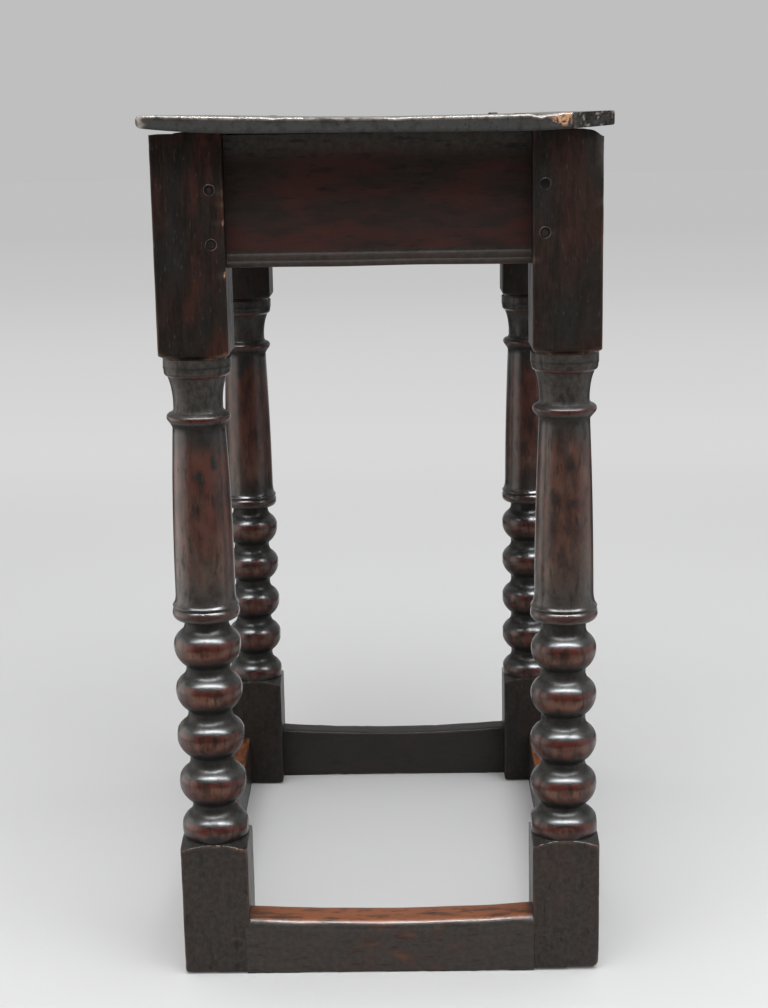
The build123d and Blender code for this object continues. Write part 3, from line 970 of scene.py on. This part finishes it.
def shapeBoard(place):
    halfX, halfY = boardBox[1].x, boardBox[1].y
    thick, corner, seed = board["thickness"], board["corner"], board["seed"]
    x = gather(place.x, halfX, *board["gather"])
    y = gather(place.y, halfY, *board["gather"])
    z = place.z
    cx = min(max(x, corner - halfX), halfX - corner)
    cy = min(max(y, corner - halfY), halfY - corner)
    out = math.hypot(x - cx, y - cy)
    if out > corner:
        x, y, out = cx + (x - cx) * corner / out, cy + (y - cy) * corner / out, corner
    inward = corner - out if out > 0 else min(halfX - abs(x), halfY - abs(y))
    wander = ripple((x, y, 0), 30, seed)
    edge = board["edge"] + 0.3 * wander + 2.2 * smooth(halfX - 12, halfX, -x)
    newIn, newFace = roundOff(inward, thick / 2 - abs(z), edge)
    if newIn != inward:
        outward = Vector((x - cx, y - cy, 0)).normalized() * (newIn - inward)
        x, y, z = x - outward.x, y - outward.y, math.copysign(thick / 2 - newFace, z)
    share = (z + thick / 2) / thick
    # worn wood, with a painted highlight along the top arris
    bare = 1.6 * fade(0.6, 1.8, inward) * smooth(0.84, 0.93, share) * (0.8 + 0.4 * wander)
    nose = smooth(halfX - 9, halfX - 3, -x) * (0.75 + 1.1 * ripple((x, y, z), 4, seed + 3))
    back = smooth(halfY - 7, halfY - 4, y)
    splinter = bump(x, *board["splinter"]) if y < 0 else 0
    wear = {
        "rubbed_and_glint": max(bare, nose * 0.9, 0.06 + 0.12 * wander),
        "soiled_and_shaded": max(0.85 * fade(0.6, 0.9, share) * (1 - nose), back),
        "waxed": smooth(0.85, 1, share) * (1 - back),
        "raw": 1.2 * splinter * fade(1, 3, inward) * smooth(0.15, 0.5, share),
    }
    return (x, y, seatHeight(x, y, share)), wear


def makeBoard():
    low, high = boardBox
    thick, step = board["thickness"], board["step"]
    bm = bmesh.new()
    counts = (round(2 * high.x / step), round(2 * high.y / step), board["cuts"])
    gridBox(bm, (2 * high.x, 2 * high.y, thick), counts)
    shape(bm, shapeBoard)
    return finishPiece("seat_board_oak", bm, "seatOak", "top_board")


def makeCutter():  # the block of wood that is gone, with a jagged skin
    b = breakPlan
    right, front = boardBox[1].x, boardBox[0].y
    width, depth, over = b["width"], b["depth"], b["over"]
    start = right - width
    bm = bmesh.new()
    gridBox(bm, (width + over, depth + over, b["tall"]), breakCuts)
    middle = Vector((right - (width - over) / 2, front + (depth - over) / 2, legTop))
    for vert in bm.verts:
        place = vert.co / mm + middle
        x, y, z = place
        away = max((y - front) / depth, 0)
        place.x += b["slant"] * away * (1 - min(max((x - start) / width, 0), 1))
        place.y += (ripple((x, y, z), 5, 1) * 0.3 + ripple((x, y, z), 14, 11)) * b["rough"]
        vert.co = place * mm
    return addObject("cutter", meshFrom("cutter", bm))


def breakCorner(piece):  # the front right corner, lost along the grain and across it
    b = breakPlan
    cutter = makeCutter()
    modifier = piece.modifiers.new("break", "BOOLEAN")
    modifier.object = cutter
    modifier.operation = "DIFFERENCE"
    modifier.solver = "EXACT"
    shaped = bpy.data.meshes.new_from_object(piece.evaluated_get(bpy.context.evaluated_depsgraph_get()))
    piece.modifiers.clear()
    piece.data = shaped
    bpy.data.objects.remove(cutter)
    right, front = boardBox[1].x, boardBox[0].y
    for number, vert in enumerate(shaped.vertices):
        x, y, z = vert.co / mm
        away = (y - front) / b["depth"]
        start = right - b["width"] + b["slant"] * away
        if x > start - 0.5 and 0.4 < y - front < b["depth"] + 1.5:
            grit = ripple((x, y, z), 2.2, 4)
            wear = {
                "rubbed_and_glint": 0.6 * smooth(0.25, 0.5, grit) + 0.3 * fade(0.1, 0.6, away),
                "soiled_and_shaded": 0.7 * smooth(0.0, 0.3, -grit),
                "waxed": 0,
                "dust_and_painted_light": 0.5 * smooth(0.0, 0.4, ripple((x, y, z), 5, 6)),
                "raw": 0,
            }
            for name, value in wear.items():
                shaped.attributes[name].data[number].value = value


breakCorner(makeBoard())
print("seat board cupped")


# ---- pegs

pegLook = {  # in mm
    "radius": 3.75, "fromShoulder": 7.5, "proud": 0.25, "length": 30.0,
    "tip": (2.9, 5.0), "steps": 28,
    "dome": ((0.5, 0.2), (0.74, 0.7), (0.88, 1), (0.96, 0.7)),  # shares of the radius and of what is proud
    "topDome": ((0.6, 0.05), (0.93, 0.2), (1, 0.6)),  # as a share of the radius, and the drop in mm
    "topProud": 0.4,
    "raised": 1.3,  # the back right peg of the top has worked up
}
pegDrops = {  # below the legs' tops, upper and lower, at the left and the right end of a rail
    "front": ((32.4, 65.4), (31.8, 61.2)),
    "right": ((31.0, 62.0), (31.4, 62.4)),
    "back": ((31.2, 62.3), (30.7, 61.8)),
    "left": ((31.0, 62.0), (31.2, 61.7)),
}
stretcherPegHeight = 22.0


def makePegs(name, kind):
    turn, half = sides[name][:2]
    p = pegLook
    radius, proud, length = p["radius"], p["proud"], p["length"]
    tip, taper = p["tip"]
    if kind == "rail":
        heights = [[legTop - drop for drop in drops] for drops in pegDrops[name]]
    else:
        heights = [[stretcherPegHeight], [stretcherPegHeight]]
    bm = bmesh.new()
    layers = wearLayers(bm)
    outline = [(0, 0)] + [(radius * out, -proud * up) for out, up in p["dome"]]
    outline += [(radius, 0), (radius, 1.5), (radius, length - taper), (tip, length), (0, length)]
    for end, rises in zip((-1, 1), heights):
        for height in rises:
            seed = turn / 7 + end * 2.3 + height
            middle = Vector((end * (half - legSide + p["fromShoulder"]), 0, height))
            for vert in lathe(bm, outline, yAxis, p["steps"]):
                x, y, z = vert.co / mm
                side = math.atan2(z, x)
                way = Vector((math.cos(side), math.sin(side), 0))
                cut = 1 + 0.05 * noise.noise(way * 1.7 + seed * zAxis)
                rim = smooth(0.72, 0.86, math.hypot(x, z) / radius) if y < 1 else 0
                bare = rim * (0.55 + 0.9 * noise.noise(way + (seed + 9) * zAxis))
                if kind == "rail":
                    wear = {"rubbed_and_glint": bare, "soiled_and_shaded": 1 - rim}
                else:
                    wear = {"rubbed_and_glint": bare * 0.25, "dust_and_painted_light": 0.6}
                settle(vert, layers, middle + Vector((x * cut, y, z * cut)), wear)
    onSide(name, bm)
    return finishPiece(name + "_" + kind + "_peg_oak", bm, "pegOak", name + "_" + kind + "_pegs")


for name in sides:
    makePegs(name, "rail")
    makePegs(name, "stretcher")


def makeTopPegs():
    low, high = sizeOf("top_pegs")
    p = pegLook
    radius = p["radius"]
    tip, taper = p["tip"]
    bm = bmesh.new()
    layers = wearLayers(bm)
    for x in (low.x + radius, high.x - radius):
        for y in (low.y + radius, high.y - radius):
            head = seatHeight(x, y, 1) + (p["raised"] if x > 0 and y > 0 else p["topProud"])
            outline = [(0, head)] + [(radius * out, head - drop) for out, drop in p["topDome"]]
            outline += [(radius, low.z + taper), (tip, low.z), (0, low.z)]
            for vert in lathe(bm, outline, zAxis, p["steps"]):
                settle(vert, layers, vert.co / mm + Vector((x, y, 0)), {"ruddy": 1.2, "rubbed_and_glint": 0.3})
    return finishPiece("top_peg_oak", bm, "pegOak", "top_pegs")


makeTopPegs()
print("pegs driven")


# ---- floor, light and air

studio = {  # in metres
    "fill": 0.56,  # light from all round
    "air": 0.52,  # how pale the room looks, and what the polish shows of it
    "floorReach": 14,
    "floorRough": 0.9,
    "floorTones": (  # share of the stretch, front to back, and how pale the paper is there
        (0.0, 0.77), (0.075, 0.745), (0.092, 0.71), (0.115, 0.65), (0.14, 0.61),
        (0.175, 0.635), (0.27, 0.69), (0.4, 0.64), (0.55, 0.57), (0.8, 0.53),
    ),
    "floorSpan": (-1.0, 9.0),
    "shadowShare": 0.92,  # of the floor near the stool that takes its shadow
    "fade": (0.35, 1.6),
}
overhead = {"place": (0.3, -0.6, 2.5), "tip": 0.24, "size": (3.4, 3.0), "power": 62}  # tip in radians
cards = {  # seen only in the polish: where each stands or lies, how its edges fade and how it glows, in metres
    "darkFloor": {"centre": (0, -1.25, 0.002), "size": (5.0, 1.9), "fade": (0.3, 0.3), "glow": 0},
    "darkLeft": {"centre": (-1.5, 1.5, 0.002), "size": (2.6, 2.2), "fade": (0.3, 0.3), "glow": 0},
    "darkRight": {"centre": (1.5, 1.3, 0.002), "size": (2.6, 2.4), "fade": (0.3, 0.3), "glow": 0},
    "darkWall": {"centre": (0, -1.95, 0.75), "size": (4.6, 1.5), "fade": (0.35, 0.49), "glow": 0, "turn": 0},
    "window": {"centre": (0.45, -1.25, 2.85), "size": (6.6, 2.1), "fade": (0.05, 0.49), "glow": 62, "turn": 0},
    "sideLeft": {
        "centre": (-0.95, -0.15, 0.3), "size": (1.7, 1.0), "fade": (0.12, 0.25), "turn": 90,
        "glow": 2.3, "shade": (1, 0.95, 0.9, 1),
    },
    "sideRight": {"centre": (1.0, -0.15, 0.3), "size": (1.7, 1.0), "fade": (0.1, 0.25), "glow": 0.75, "turn": 90},
}
cardShade = (0.93, 0.97, 1, 1)


def seenRay(tree):  # rays that end in the eye, straight or by a reflection
    kinds = ("Camera", "Glossy", "Transmission")
    camera, glossy, through = (Wire(tree).node("LightPath", {}, {}, "Is %s Ray" % kind) for kind in kinds)
    return limit(camera + glossy + through)


def emptyMaterial(name):
    material = bpy.data.materials.new(name)
    material.use_nodes = True
    return material, material.node_tree


def makeFloor():
    bm = bmesh.new()
    bmesh.ops.create_circle(bm, cap_ends=True, segments=64, radius=studio["floorReach"])
    mesh = meshFrom("floor", bm)
    paper, tree = emptyMaterial("paper")
    shader = tree.nodes["Principled BSDF"]
    shader.inputs["Roughness"].default_value = studio["floorRough"]
    place = Wire(tree).node("TexCoord", {}, {}, "Object")
    along = place.node("SeparateXYZ", {}, {0: place}, "Y")
    low, high = studio["floorSpan"]
    share = along.node("MapRange", {}, {"Value": along, "From Min": low, "From Max": high})
    tone = share.node("ValToRGB", {}, {"Fac": share})
    stops = tone.socket.node.color_ramp.elements
    while len(stops) < len(studio["floorTones"]):
        stops.new(1)
    for stop, (position, shade) in zip(stops, studio["floorTones"]):
        stop.position = position
        stop.color = (shade, shade, shade, 1)
    tone.into(shader, "Base Color")
    glow = tone.node("Emission", {}, {"Color": tone, "Strength": 1.0})
    lift = 1 - studio["shadowShare"] * (1 - step(along, *studio["fade"]))
    base = Wire(tree, shader.outputs[0])
    mixed = base.node("MixShader", {}, {0: seenRay(tree) * lift, 1: base, 2: glow})
    mixed.into(tree.nodes["Material Output"], "Surface")
    mesh.materials.append(paper)
    addObject("floor", mesh)


def makeAir():
    world = bpy.data.worlds.new("air")
    world.use_nodes = True
    tree = world.node_tree
    strength = studio["fill"] + seenRay(tree) * (studio["air"] - studio["fill"])
    strength.into(tree.nodes["Background"], "Strength")
    tree.nodes["Background"].inputs["Color"].default_value = (1, 1, 1, 1)
    scene.world = world


def makeOverhead():
    data = bpy.data.lights.new("overhead", "AREA")
    data.shape = "RECTANGLE"
    data.size, data.size_y = overhead["size"]
    data.energy = overhead["power"]
    lamp = addObject("overhead", data)
    lamp.matrix_world = Matrix.Translation(overhead["place"]) @ Matrix.Rotation(overhead["tip"], 4, "X")
    lamp.visible_camera = False


def cardMesh(name, plan):
    bm = bmesh.new()
    bmesh.ops.create_grid(bm, x_segments=1, y_segments=1, size=0.5)
    bmesh.ops.scale(bm, vec=(*plan["size"], 1), verts=bm.verts)
    if "turn" in plan:
        upright = Matrix.Rotation(math.pi / 2, 3, "X")
        turn = Matrix.Rotation(math.radians(plan["turn"]), 3, "Z")
        bmesh.ops.rotate(bm, cent=origin, matrix=turn @ upright, verts=bm.verts)
    bmesh.ops.translate(bm, vec=plan["centre"], verts=bm.verts)
    return meshFrom(name, bm)


def cardMaterial(name, plan):
    material, tree = emptyMaterial(name)
    place = Wire(tree).node("TexCoord", {}, {}, "Object")
    stands, turned = "turn" in plan, plan.get("turn", 0) != 0
    ways = ("Y" if turned else "X", "Z" if stands else "Y")
    across, along = (place.node("SeparateXYZ", {}, {0: place}, way) for way in ways)
    middles = [plan["centre"]["XYZ".index(way)] for way in ways]
    mask = 1
    for part, middle, size, inside in zip((across, along), middles, plan["size"], plan["fade"]):
        away = part.node("Math", {"operation": "ABSOLUTE"}, {0: part - middle})
        mask = mask * (1 - step(away, inside * size, 0.5 * size))
    strength = plan["glow"]
    if stands and not turned:  # brightest at its foot
        half = plan["size"][1] / 2
        strength = strength * (1 - step(along, middles[1] - half, middles[1] + half))
    glow = mask.node("Emission", {}, {"Color": plan.get("shade", cardShade), "Strength": strength})
    clear = mask.node("BsdfTransparent", {}, {})
    mixed = mask.node("MixShader", {}, {0: mask, 1: clear, 2: glow})
    mixed.into(tree.nodes["Material Output"], "Surface")
    return material


def makeCard(name):
    plan = cards[name]
    mesh = cardMesh(name, plan)
    mesh.materials.append(cardMaterial(name, plan))
    card = addObject(name, mesh)
    card.visible_camera = card.visible_diffuse = card.visible_shadow = card.visible_transmission = False


makeFloor()
makeAir()
makeOverhead()
for name in cards:
    makeCard(name)
print("studio lit")
